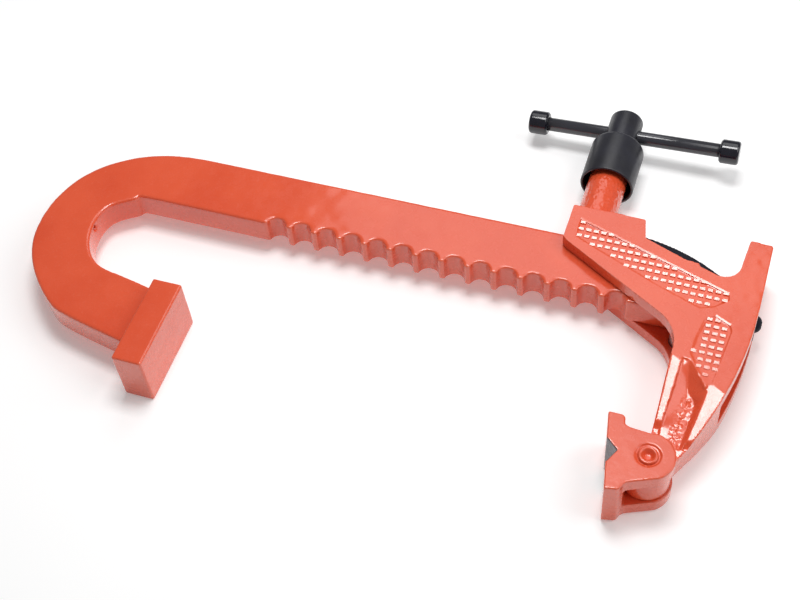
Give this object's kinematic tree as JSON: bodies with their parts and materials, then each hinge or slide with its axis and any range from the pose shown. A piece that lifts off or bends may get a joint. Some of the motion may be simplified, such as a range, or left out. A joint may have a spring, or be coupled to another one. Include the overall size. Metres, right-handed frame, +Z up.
{
  "type": "c clamp",
  "caption": "Heavy orange rack bar clamp lying flat: hooked flat bar with anvil block, sliding two-cheek jaw with V-grooved swivel pad, and a rear screw with sliding handle.",
  "frame": {"origin": "middle of the anvil block's clamping face, at the bar's mid-plane", "axes": "+X along the bar from the anvil to the sliding jaw; +Y from the work side to the screw side; +Z up from the face it lies on"},
  "size_m": [0.4495, 0.2792, 0.038],
  "materials": {
    "enamel": "gloss",
    "black_steel": "satin",
    "bright_steel": "satin",
    "brass": "satin"
  },
  "bodies": {
    "bar": {"hook_bar": "enamel", "anvil_block": "enamel", "anvil_weld": "enamel", "tail_stop": "black_steel", "tail_screw": "black_steel"},
    "rack_pin_body": {"rack_pin": "bright_steel"},
    "jaw": {"jaw_casting": "enamel", "screw_bush": "brass", "bush_grub_screw": "black_steel", "pin_plug": "black_steel"},
    "foot": {"pressure_foot": "bright_steel", "foot_ring": "bright_steel"},
    "screw": {"spindle": "black_steel", "dust_sleeve": "black_steel", "sleeve_pin": "bright_steel"},
    "handle": {"tommy_bar": "black_steel", "knob_left": "black_steel", "knob_right": "black_steel", "knob_pins": "bright_steel"},
    "pad": {"swivel_pad": "enamel", "pad_pin": "enamel"}
  },
  "joints": [
    {"name": "jaw_slide", "type": "slide", "parent": "bar", "child": "rack_pin_body", "axis": [1, 0, 0], "range_m": [-0.24, 0.002]},
    {"name": "jaw_tilt", "type": "hinge", "parent": "rack_pin_body", "child": "jaw", "pos_m": [0.29, 0.0892, 0], "axis": [0, 0, -1], "range_deg": [0, 8.88]},
    {"name": "screw_advance", "type": "slide", "parent": "jaw", "child": "foot", "axis": [0, -1, 0], "range_m": [0, 0.01]},
    {"name": "screw_turn", "type": "hinge", "parent": "foot", "child": "screw", "pos_m": [0.2227, 0.1415, 0], "axis": [0, -1, 0], "range_deg": [0, 900]},
    {"name": "handle_slide", "type": "slide", "parent": "screw", "child": "handle", "axis": [0.999, 0, 0.0454], "range_m": [-0.051, 0.037]},
    {"name": "pad_swivel", "type": "hinge", "parent": "jaw", "child": "pad", "pos_m": [0.291, -0.0073, 0], "axis": [0, 0, 1], "range_deg": [-25, 20]}
  ],
  "couplings": [
    {"joint": "screw_advance", "follows": "jaw_tilt", "m_per_rad": 0.0645},
    {"joint": "screw_turn", "follows": "jaw_tilt", "ratio": 101.32}
  ]
}
